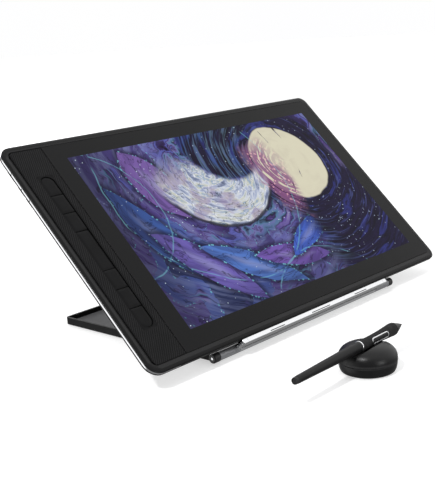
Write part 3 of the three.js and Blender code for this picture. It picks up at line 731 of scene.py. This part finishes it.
def make_mid_frame():
    band_top = trim_high.z + 0.05
    rise = frame_high.z - band_top
    rings = [[frame_low.z, 0.3], [frame_low.z + 0.3, 0], [band_top - 0.02, 0]]
    for turn in quarter(12):
        rings.append([band_top + rise * math.sin(turn), SHOULDER * (1 - math.cos(turn))])
    outside = [[(x, y, z) for x, y in body_outline(inset, 8)] for z, inset in rings]
    well = (panel_low.x - 2.2, glass_low.y - GAP, glass_high.x + GAP, glass_high.y + GAP)
    inner = [[frame_high.z, -0.12], [frame_high.z - 0.12, 0], [glass_low.z - GAP, 0],
             [glass_low.z - GAP, 4], [frame_low.z, 4]]
    inside = [[(x, y, z) for x, y in outline(well, [POCKET_RADIUS] * 4, inset, 8)] for z, inset in inner]
    depth = TRIM_DEPTH + SLACK
    channel_low = trim_low.z - SLACK
    channel_high = trim_high.z + SLACK
    channel = [(-1, channel_low), (depth, channel_low), (depth, channel_high), (-1, channel_high)]
    tools = [band(channel, trim_high.x + SLACK)] + side_openings()
    whole = carved(loft(outside + inside, loop=True), *tools)
    piece("mid_frame", whole, TILTED)


def make_side_trim():
    """The bright strip round the left end, bulging slightly, with small notches by the side keys."""
    middle = (trim_low.z + trim_high.z) / 2
    half = (trim_high.z - trim_low.z) / 2
    across = (-1, -0.85, -0.6, -0.3, 0, 0.3, 0.6, 0.85, 1)
    bulge = [(TRIM_BULGE * (abs(t) ** 3), middle + half * t) for t in across]
    section = bulge + [(TRIM_DEPTH, trim_high.z), (TRIM_DEPTH, trim_low.z)]
    notches = []
    for node in SIDE_KEYS:
        low, high = local_box(node, TILTED)
        at = (low.y + high.y) / 2
        notches.append(block(Vector((trim_low.x - 1, at - 0.7, trim_low.z - 1)),
                             Vector((trim_low.x + 0.5, at + 0.7, trim_high.z + 1)), 0.1, 0.05))
    piece("side_trim", carved(band(section, trim_high.x), *notches), TILTED)


def make_cover_glass():
    piece("cover_glass", block(glass_low, glass_high, [0.6, 5, 5, 0.6], 0.22, steps=6), TILTED)


def rib(start, end, half_width, low, high):
    """A half-round bar between two points on the panel, with pointed ends."""
    along = Vector((end[0] - start[0], end[1] - start[1], 0)).normalized()
    across = Vector((-along.y, along.x, 0))
    rings = []
    inner = [Vector(start) + along.xy * 0.5, Vector(end) - along.xy * 0.5]
    for point, share in ((start, 0.25), (inner[0], 1), (inner[1], 1), (end, 0.25)):
        centre = Vector((point[0], point[1], low))
        ring = []
        for angle in (0, 35, 65, 90, 115, 145, 180):
            turn = math.radians(angle)
            lift = Vector((0, 0, (high - low) * share * math.sin(turn)))
            ring.append(centre + across * half_width * share * math.cos(turn) + lift)
        rings.append(ring)
    return loft(rings)


def panel_ribs(top):
    """Slanted ribs over the panel, broken where the keys are."""
    slot_low, slot_high = key_slot(0.9)
    step = 0.1
    ribs = []
    run = RIB_PITCH * math.sqrt(2)
    count = int((panel_high.y - panel_low.y + panel_high.x - panel_low.x) / run)
    for number in range(count):
        offset = panel_low.y - (panel_high.x - panel_low.x) + run * (number + 0.5)
        inside = []
        steps = int((panel_high.x - panel_low.x - 2 * RIB_MARGIN) / step)
        for i in range(steps + 2):
            x = panel_low.x + RIB_MARGIN + i * step
            y = offset + (x - panel_low.x)
            on_panel = i <= steps and panel_low.y + RIB_MARGIN < y < panel_high.y - RIB_MARGIN
            in_slot = slot_low.x < x < slot_high.x and slot_low.y < y < slot_high.y
            if on_panel and not in_slot:
                inside.append((x, y))
                continue
            if len(inside) > 12:
                ribs.append(rib(inside[0], inside[-1], 0.42, top, panel_top))
            inside = []
    return ribs


def key_slot(grow=0.0):
    lows, highs = zip(*[local_box(node, TILTED) for node in SLOT_KEYS])
    low = Vector((min(p.x for p in lows) - GAP - grow, min(p.y for p in lows) - GAP - grow, 0))
    high = Vector((max(p.x for p in highs) + GAP + grow, max(p.y for p in highs) + GAP + grow, 0))
    return low, high


def make_key_panel():
    top = panel_top - 0.22
    slot_low, slot_high = key_slot()
    slot_low.z = panel_low.z - 1
    slot_high.z = panel_high.z + 1
    radius = (slot_high.x - slot_low.x) / 2 - 0.05
    flat = panel_high.copy()
    flat.z = top
    plain = block(panel_low, flat, [5, 0.6, 0.6, 5], 0.2, steps=6)
    holed = carved(plain, block(slot_low, slot_high, radius, 0.02, steps=12))
    piece("key_panel", joined(holed, *panel_ribs(top - 0.02)), TILTED)


def pillow(low, high, radii):
    """A key whose top falls away gently toward its edges."""
    limits = (low.x, low.y, high.x, high.y)
    edge = 0.06
    layers = [[low.z, 0.1], [low.z + 0.1, 0], [high.z - KEY_DROP - 0.15, 0]]
    for turn in quarter(10):
        inset = edge + (KEY_REACH - edge) * (1 - math.cos(turn))
        layers.append([high.z - KEY_DROP * (1 - math.sin(turn)), inset])
    return layered(layers, lambda inset: outline(limits, radii, inset, 8))


def make_slot_keys():
    """Six keys and a touch bar in one long slot; the two end keys have round ends."""
    lows = {node: local_box(node, TILTED)[0].y for node in SLOT_KEYS}
    lowest = min(lows, key=lows.get)
    highest = max(lows, key=lows.get)
    for node in SLOT_KEYS:
        low, high = local_box(node, TILTED)
        round_end = (high.x - low.x) / 2 - 0.02
        bottom = round_end if node == lowest else 0.9
        top = round_end if node == highest else 0.9
        piece(node, pillow(low, high, [bottom, bottom, top, top]), TILTED, sharp=50)


def make_back_cover():
    """The thin cover: its sides slope in from the frame to the flat back."""
    slope = spline([(12.4, 1.0), (11.6, 1.4), (9.8, 5.0), (8.0, 12.0), (6.6, 21.0), (6.0, 28.0)], 3)
    lining = [(7.4, 30.0), (8.8, 15.0), (10.0, 8.0), (12.25, 2.6), (12.4, 2.4)]
    rings = [[(x, y, height) for x, y in body_outline(inset)] for height, inset in lining + slope]
    pockets = []
    for node in TABLET_FEET:
        low, high = grown(node, TILTED, SLACK)
        pockets.append(block(low, high, 4.1, 0.05))
    piece("back_cover", carved(loft(rings), *pockets, *side_openings()), TILTED)


def make_side_keys_and_ports():
    for node in SIDE_KEYS:
        block_piece(node, TILTED, 1.0, 0.35, "x")
    for node in PORTS:
        low, high = local_box(node, TILTED)
        wall = Vector((0, 0.35, 0.35))
        deep = Vector((2, 0, 0))
        mouth = block(low + wall + deep, high - wall + deep, 1.2, 0.02, "x", 8)
        middle = (low.z + high.z) / 2
        tongue = block(Vector((low.x + 1, low.y + 1.2, middle - 0.35)),
                       Vector((high.x - 1.2, high.y - 1.2, middle + 0.35)), 0.3, 0.1, "x")
        piece(node, joined(carved(block(low, high, 1.55, 0.12, "x", 8), mouth), tongue), TILTED)


def make_feet():
    for node in TABLET_FEET:
        block_piece(node, TILTED, 3.9, 0.35, steps=8)
    for node in PLATE_PADS:
        block_piece(node, TILTED, 2.9, steps=6)
    for node in BASE_FEET:
        block_piece(node, HINGE, 2.9, steps=6)


# ---------------------------------------------------------------- folding stand

def rod(radius, x0, x1, sides=64):
    return lathe([(x0, 0), (x0, radius), (x1, radius), (x1, 0)], sides)


def make_support_plate():
    """The sheet behind the tablet, and the band that folds forward over the hinge tube."""
    low, high = local_box("support_plate", TILTED)
    band_half = local_box("hinge_tube", TILTED)[1].x
    cap_radius = local_box("hinge_cap_right", HINGE)[1].y
    pad_top = local_box("plate_pad_1", TILTED)[1].z
    sheet = block(Vector((low.x, 3.5, low.z)), Vector((high.x, high.y, 5.1)), [1, 1, 8, 8], 0.45, steps=6)
    front_band = block(Vector((-band_half, low.y, 4.7)), Vector((band_half, 9, pad_top)), 0.9, 0.3)
    whole = carved(sheet, front_band, operation="UNION")
    pads = [block(*grown(node, TILTED, SLACK), 3, 0.05) for node in PLATE_PADS]
    relief = rod(cap_radius + GAP, low.x - 1, high.x + 1)
    piece("support_plate", carved(whole, relief, *pads), TILTED)


def insert_profile(face, grow):
    """The rubber insert across the bar: a foot under the tablet, and a thin line on its face."""
    return [(0.05 + grow, 13.6 - grow), (0.05 + grow, 15.2 + grow), (-2.6 + grow, 15.2 + grow),
            (-2.6 + grow, face), (-3.2 - grow, face), (-3.2 - grow, 13.6 - grow)]


def insert(low_x, high_x, face, grow=0.0):
    profile = insert_profile(face, grow)
    return loft([[(x, y, z) for y, z in profile] for x in (low_x - grow, high_x + grow)])


def make_lip_bar():
    low, high = local_box("lip_bar", TILTED)
    cuts = []
    for node in LIP_PADS:
        pad_low, pad_high = local_box(node, TILTED)
        cuts.append(insert(pad_low.x, pad_high.x, high.z + 1, 0.1))
        piece(node, insert(pad_low.x, pad_high.x, high.z - 0.02), TILTED, bevel=0.08)
    for side in (-1, 1):
        left = side * (high.x - 6) - 0.18
        right = side * (high.x - 6) + 0.18
        across_top = (Vector((left, low.y - 1, high.z - 0.4)), Vector((right, 1, high.z + 1)))
        down_front = (Vector((left, low.y - 1, low.z - 1)), Vector((right, low.y + 1.2, high.z - 0.5)))
        cuts += [block(*groove, 0.02, 0.01) for groove in (across_top, down_front)]
    bar = block(Vector((low.x, low.y, 13.0)), high, 1.2, 0.35, steps=6)
    ledge = block(Vector((low.x, low.y + 0.8, low.z)), Vector((high.x, high.y, 14.0)), 0.9, 0.25)
    piece("lip_bar", carved(carved(bar, ledge, operation="UNION"), *cuts), TILTED)


def make_hinge():
    low, high = local_box("hinge_tube", TILTED)
    radius = high.y
    bore = local_box("hinge_shaft", TILTED)[1].y + 0.4
    piece("hinge_tube", lathe(hollow_profile(low.x, high.x, radius, bore), 96, loop=True), HINGE)
    for side, word in ((-1, "left"), (1, "right")):
        low, high = local_box(f"hinge_sleeve_{word}", HINGE)
        sleeve = hollow_profile(low.x, high.x, high.y, bore)
        piece(f"hinge_sleeve_{word}", lathe(sleeve, 96, loop=True), HINGE)
        low, high = local_box(f"hinge_cap_{word}", HINGE)
        start = min(abs(low.x), abs(high.x))
        end = max(abs(low.x), abs(high.x))
        radius = high.y
        screw = local_box(f"hinge_screw_{word}", HINGE)[1].y
        cap = [(start, 0), (start, radius - 0.15), (start + 0.15, radius)]
        cap += [(end - 1.3 + 1.3 * math.sin(t), radius - 1.3 + 1.3 * math.cos(t)) for t in quarter()]
        cap += [(end, screw + 0.3), (end - 0.15, screw + 0.15), (end - 1.6, screw + 0.15), (end - 1.6, 0)]
        head = [(end - 1.3, 0), (end - 1.3, screw), (end - 0.35, screw), (end - 0.1, screw - 0.2),
                (end, screw - 0.6), (end, 0)]
        turn = Matrix.Scale(side, 4, (1, 0, 0))
        driver = block(Vector((end - 0.5, -0.25, -3)), Vector((end + 1, 0.25, 3)), 0.02, 0.01)
        piece(f"hinge_cap_{word}", moved(lathe(cap, 72), turn), HINGE, sharp=40)
        piece(f"hinge_screw_{word}", moved(carved(lathe(head, 48), driver), turn), HINGE, sharp=40)


def hollow_profile(start, end, radius, bore):
    """The wall of a tube with eased ends, as a closed profile."""
    return [(start, radius - 0.25), (start + 0.25, radius), (end - 0.25, radius), (end, radius - 0.25),
            (end, bore + 0.1), (end - 0.1, bore), (start + 0.1, bore), (start, bore + 0.1)]


def make_stand_base():
    """A shallow tray on the desk, with an ear under each hinge sleeve."""
    low, high = local_box("stand_base", HINGE)
    liner_low, liner_high = local_box("base_liner", HINGE)
    rim_width = liner_low.x - low.x - GAP
    tray_front = liner_low.y - rim_width - GAP
    floor = liner_low.z - GAP
    limits = (low.x, tray_front, high.x, high.y)
    layers = [[floor, rim_width + 0.5], [floor + 0.15, rim_width + 0.15], [floor + 0.5, rim_width],
              [high.z - 0.3, rim_width], [high.z - 0.08, rim_width - 0.1], [high.z, rim_width - 0.3]]
    layers += [[height, inset] for height, inset in rim(high.z, -1, 0.6)[::-1]]
    layers += [[height, inset] for height, inset in rim(low.z, 1, 0.5)]
    tray = layered(layers, lambda inset: outline(limits, (1.5, 1.5, 4, 4), inset, 6))
    ears = []
    for word in ("left", "right"):
        sleeve_low, sleeve_high = local_box(f"hinge_sleeve_{word}", HINGE)
        ears.append(block(Vector((sleeve_low.x + 0.3, low.y, low.z)),
                          Vector((sleeve_high.x - 0.3, tray_front + 1.2, -1.0)), 0.3, 0.15))
    cap_radius = local_box("hinge_cap_right", HINGE)[1].y
    cradle = rod(cap_radius + GAP, low.x - 6, high.x + 6)
    piece("stand_base", carved(carved(tray, *ears, operation="UNION"), cradle), HINGE)
    piece("base_liner", block(liner_low, liner_high, 1.4, 0.15), HINGE)


# ---------------------------------------------------------------- pen stand

def make_pen_stand():
    low, high = local_box("pen_stand_lid", HOLDER)
    radius = high.x
    bore = local_box("pen_stand_cup", HOLDER)[1].x + GAP
    bottom = low.z
    spring_line = bottom + 0.5
    crown = CROWN - spring_line
    dome = [(bottom, 21.5), (bottom, radius - 0.5), (bottom + 0.15, radius - 0.15)]
    for turn in quarter(30):
        across = radius * math.cos(turn) ** DOME_POWER
        if across > bore + 0.5:
            dome.append((spring_line + crown * math.sin(turn) ** DOME_POWER, across))
    dome += [(CROWN - 0.02, bore), (bottom, bore), (bottom, bore + 1.8), (15, bore + 1.8), (15, 17.5),
             (11, 21)]
    heading = math.atan2(pen_direction.y, pen_direction.x)
    raised = Matrix.Translation((0, 0, VALLEY_BOTTOM + VALLEY_RADIUS))
    valley = moved(rod(VALLEY_RADIUS, -40, 40, 128), Matrix.Rotation(heading, 4, "Z") @ raised)
    piece("pen_stand_lid", carved(turned_up(dome, 128, loop=True), valley), HOLDER, sharp=28, bevel=0.3)

    low, high = local_box("pen_stand_cup", HOLDER)
    inner = 5.9
    well = low.z + 2.2
    cup = [(low.z, 0), (low.z, high.x), (high.z - 0.35, high.x), (high.z, high.x - 0.35),
           (high.z, inner + 0.5), (high.z - 0.15, inner + 0.15), (high.z - 0.5, inner),
           (well + 0.6, inner), (well + 0.15, inner - 0.15), (well, inner - 0.6), (well, 0)]
    piece("pen_stand_cup", turned_up(cup, 96), HOLDER)

    low, high = local_box("pen_stand_base", HOLDER)
    foot_high = local_box("pen_stand_foot", HOLDER)[1]
    seat = foot_high.x + 0.3
    bowl = [(foot_high.z + 0.3, 0), (foot_high.z + 0.3, seat), (low.z, seat)]
    bowl += spline([(low.z, 21.9), (1.7, 22.5), (3.4, 23.2), (5.8, 23.8), (high.z - 0.15, high.x)], 4)
    bowl += [(high.z, high.x - 0.15), (high.z, 19), (2.9, 19), (2.9, 0)]
    piece("pen_stand_base", turned_up(bowl, 128), HOLDER)
    foot = [(0, 0), (0, foot_high.x - 0.4), (0.12, foot_high.x - 0.1), (0.4, foot_high.x),
            (foot_high.z, foot_high.x), (foot_high.z, 0)]
    piece("pen_stand_foot", turned_up(foot, 96), HOLDER)


# ---------------------------------------------------------------- pen

def closed(curve, ease=0.15):
    """A turned profile with slightly eased ends, closed on the axis."""
    first, last = curve[0], curve[-1]
    start = [(first[0], 0), (first[0], first[1] - ease), (first[0] + ease * 0.4, first[1] - ease * 0.3)]
    end = [(last[0] - ease * 0.4, last[1] - ease * 0.3), (last[0], last[1] - ease), (last[0], 0)]
    return start + [point for point in curve if first[0] + ease < point[0] < last[0] - ease] + end


def grip_radius(along):
    curve = spline(GRIP, 12)
    for (s0, r0), (s1, r1) in zip(curve, curve[1:]):
        if s0 <= along <= s1:
            return r0 + (r1 - r0) * (along - s0) / (s1 - s0)
    return curve[-1][1]


def button_ring(inset, height=None, lift=0.0, dip=0.0):
    """A stadium on the grip's side: at a fixed height, or following the surface with a lift."""
    low, high = local_box("pen_button_bezel", PEN)
    limits = (low.x, low.y, high.x, high.y)
    ring = []
    for x, y in outline(limits, [high.y - 0.02] * 4, inset, 8):
        along = min(max(x, low.x), high.x)
        surface = math.sqrt(max(grip_radius(along) ** 2 - y * y, 0.01))
        sag = dip * math.exp(-((x - (low.x + high.x) / 2) / 3.2) ** 2)
        ring.append((x, y, height if height is not None else surface + lift - sag))
    return ring


def make_pen():
    tail = [(0.25, 0), (0.25, 1.75), (0.1, 1.9), (0, 2.1), (0, 2.5), (0.1, 2.68), (0.35, 2.8), (3.05, 3.0),
            (3.2, 2.9), (3.2, 0)]
    piece("pen_tail_cap", lathe(tail, 72), PEN)
    piece("pen_barrel", lathe(closed(spline(BARREL, 14)), 96), PEN)
    low, high = local_box("pen_ring", PEN)
    ring = [(low.x, 0), (low.x, high.y - 0.3)] + [
        (low.x + (high.x - low.x) * (0.5 - 0.5 * math.cos(t)), high.y - 0.3 + 0.3 * math.sin(t))
        for t in [step / 8 * math.pi for step in range(1, 8)]] + [(high.x, high.y - 0.3), (high.x, 0)]
    piece("pen_ring", lathe(ring, 96), PEN, sharp=60)
    pocket = loft([button_ring(-0.12, height=2.4), button_ring(-0.12, height=8)])
    piece("pen_grip", carved(lathe(closed(spline(GRIP, 12), 0.3), 96), pocket), PEN)
    bezel = [button_ring(0, height=2.8), button_ring(0, lift=0.02), button_ring(0.14, lift=0.15),
             button_ring(0.62, lift=0.15), button_ring(0.76, lift=0.02), button_ring(0.8, height=2.8)]
    piece("pen_button_bezel", loft(bezel, loop=True), PEN)
    rocker = [button_ring(0.95, height=3.3), button_ring(0.95, lift=-0.1), button_ring(1.05, lift=0.12)]
    for inset, lift in ((1.3, 0.22), (1.7, 0.26), (2.2, 0.27), (2.6, 0.27)):
        rocker.append(button_ring(inset, lift=lift, dip=0.22))
    piece("pen_side_button", loft(rocker), PEN, sharp=45)
    nose = closed(spline(NOSE, 8), 0.2)
    nose = nose[:-1] + [(151.5, 0.8), (141, 0.8), (141, 0)]
    piece("pen_nose", lathe(nose, 72), PEN)
    nib = [(141.7, 0), (141.7, NIB_RADIUS), (NIB_ROUND, NIB_RADIUS)]
    for turn in quarter()[1:-1]:
        nib.append((NIB_ROUND + (NIB_END - NIB_ROUND) * math.sin(turn), NIB_RADIUS * math.cos(turn)))
    piece("pen_nib", lathe(nib + [(NIB_END, 0)], 40), PEN)


# ---------------------------------------------------------------- build

FINISHES = {                        # each material slot: how it is made, and with what values
    "cover_glass": (lit_glass,),
    "key_panel": (ribbed_panel,),
    "mid_frame": (coated, rgb(13, 13, 14), 0.32, 9, 0.006, 0.15),
    "side_trim": (brushed, rgb(240, 241, 243), 0.12, "y", 0.004),
    "back_cover": (coated, rgb(36, 36, 38), 0.5, 7, 0.012, 0.4),
    "keys": (coated, rgb(15, 15, 16), 0.46, 7, 0.008, 0.09, 0.1),
    "display_panel": (display_module,),
    "circuit_board": (board,),
    "shield": (brushed, rgb(176, 178, 182), 0.3, "x"),
    "port_metal": (brushed, rgb(150, 151, 154), 0.25, "x"),
    "rubber": (rubber, rgb(28, 28, 29)),
    "stand_metal": (coated, rgb(17, 17, 18), 0.45, 5, 0.02, 0.06),
    "liner": (rubber, rgb(78, 78, 80), 3.0),
    "bright_metal": (brushed, rgb(243, 244, 246), 0.2, "x", 0.006),
    "dark_steel": (brushed, rgb(136, 137, 140), 0.3, "x", 0.01, 0.35),
    "hinge_metal": (brushed, rgb(150, 151, 153), 0.5, "x", 0.01, 0.1),
    "steel_shaft": (brushed, rgb(176, 177, 180), 0.22, "x"),
    "cap_plastic": (coated, rgb(26, 26, 27), 0.4, 8, 0.008, 0.4),
    "pen_plastic": (coated, rgb(20, 20, 21), 0.4, 8, 0.006, 0.22),
    "pen_rubber": (rubber, rgb(24, 24, 25), 8.0),
    "pen_stand_shell": (coated, rgb(18, 18, 19), 0.38, 8, 0.004, 0.3),
    "nib": (coated, rgb(40, 40, 41), 0.4, 12, 0.004),
}
finishes = {slot: make(slot, *values) for slot, (make, *values) in FINISHES.items()}


def dress_cad():
    """Every CAD node gets its slot's material, also those that a finer piece will stand for."""
    for node, made in cad.items():
        made.data.materials.clear()
        made.data.materials.append(finishes[slot_of[node]])


# ---------------------------------------------------------------- studio

def make_floor():
    """A wide pale table that doesn't tint the model."""
    skin = bmesh.new()
    bmesh.ops.create_grid(skin, x_segments=16, y_segments=16, size=FLOOR_SIZE)
    floor = as_object("floor", skin)
    s = Shader(bpy.data.materials.new("floor"))
    tone = s.mix(s.span(s.noise(0.004, 3), 0.3, 0.7), (0.6, 0.6, 0.6), (0.61, 0.61, 0.612))
    white = s.add("ShaderNodeBsdfDiffuse", {"Color": tone}).outputs[0]
    glow = s.add("ShaderNodeEmission", {"Color": (1, 1, 1), "Strength": FLOOR_GLOW}).outputs[0]
    both = s.add("ShaderNodeAddShader", {0: white, 1: glow}).outputs[0]
    floor.data.materials.append(s.shown(both))
    floor.visible_glossy = False


def make_backdrop():
    """A pale wall all round, seen by the eye only: it neither lights the model nor shows in it."""
    skin = bmesh.new()
    bmesh.ops.create_icosphere(skin, subdivisions=4, radius=BACKDROP_RADIUS)
    backdrop = as_object("backdrop", skin)
    s = Shader(bpy.data.materials.new("backdrop"))
    tone = s.mix(s.span(s.noise(0.0004, 2), 0.3, 0.7), (1, 1, 1), (0.99, 0.99, 1))
    glow = s.add("ShaderNodeEmission", {"Color": tone, "Strength": 1.0}).outputs[0]
    backdrop.data.materials.append(s.shown(glow))
    backdrop.visible_glossy = False
    backdrop.visible_diffuse = False
    backdrop.visible_transmission = False
    backdrop.visible_shadow = False


def make_world():
    """A dim studio with three bright parts: overhead, behind on the left, and the far backdrop."""
    world = bpy.data.worlds.new("studio")
    bpy.context.scene.world = world
    s = Shader(world)
    way = s.coordinates["Generated"]
    level = STUDIO_DIM
    for axis, start, full, strength in STUDIO_GLOWS:
        near = s.vector("DOT_PRODUCT", way, Vector(axis).normalized())
        level = s.math("MAXIMUM", level, s.span(near, start, full, 0.0, strength))
    background = s.add("ShaderNodeBackground", {"Color": (1, 1, 1), "Strength": level})
    s.shown(background.outputs[0], "ShaderNodeOutputWorld")


def make_light(name, position, target, size, power, shine=1.0):
    data = bpy.data.lights.new(name, "AREA")
    data.shape = "DISK"
    data.size = size
    data.energy = power
    data.specular_factor = shine
    light = bpy.data.objects.new(name, data)
    bpy.context.scene.collection.objects.link(light)
    light.location = position
    light.rotation_euler = (Vector(target) - Vector(position)).to_track_quat("-Z", "Y").to_euler()


def make_camera():
    data = bpy.data.cameras.new("camera")
    data.lens = CAMERA_LENS
    data.sensor_width = 36
    data.clip_start = 0.05
    camera = bpy.data.objects.new("camera", data)
    bpy.context.scene.collection.objects.link(camera)
    camera.location = CAMERA_PLACE
    camera.rotation_euler = [math.radians(angle) for angle in CAMERA_TURN]
    bpy.context.scene.camera = camera


CAMERA_LENS = 71.85
CAMERA_PLACE = (-0.71074, -0.55204, 0.29259)
CAMERA_TURN = (76.364, 3.315, -48.165)
FLOOR_SIZE = 8.0
FLOOR_GLOW = 0.54
BACKDROP_RADIUS = 7.5
STUDIO_DIM = 0.22
STUDIO_GLOWS = [                    # axis, cosines where the glow starts and is full, strength
    ((0.55, -0.10, 0.83), 0.10, 0.80, 1.1),
    ((-0.72, 0.65, -0.24), 0.84, 0.93, 1.3),
    ((0.72, 0.65, 0.0), 0.80, 0.88, 1.1),
]

dress_cad()
make_mid_frame()
make_side_trim()
make_cover_glass()
make_key_panel()
make_slot_keys()
make_back_cover()
make_side_keys_and_ports()
make_feet()
make_support_plate()
make_lip_bar()
make_hinge()
make_stand_base()
make_pen_stand()
make_pen()

make_floor()
make_backdrop()
make_world()
make_light("key", (-1.3, -0.3, 1.3), (-0.08, -0.12, 0), 0.12, 18, 0.02)
make_light("low_front", (-0.2, -1.7, 0.14), (-0.076, -0.126, 0.015), 0.6, 6)
make_light("back_fill", (0.4, 1.7, 0.45), (0, 0.05, 0.08), 1.0, 14, 1.0)
make_camera()
bpy.context.scene.view_settings.view_transform = "Standard"
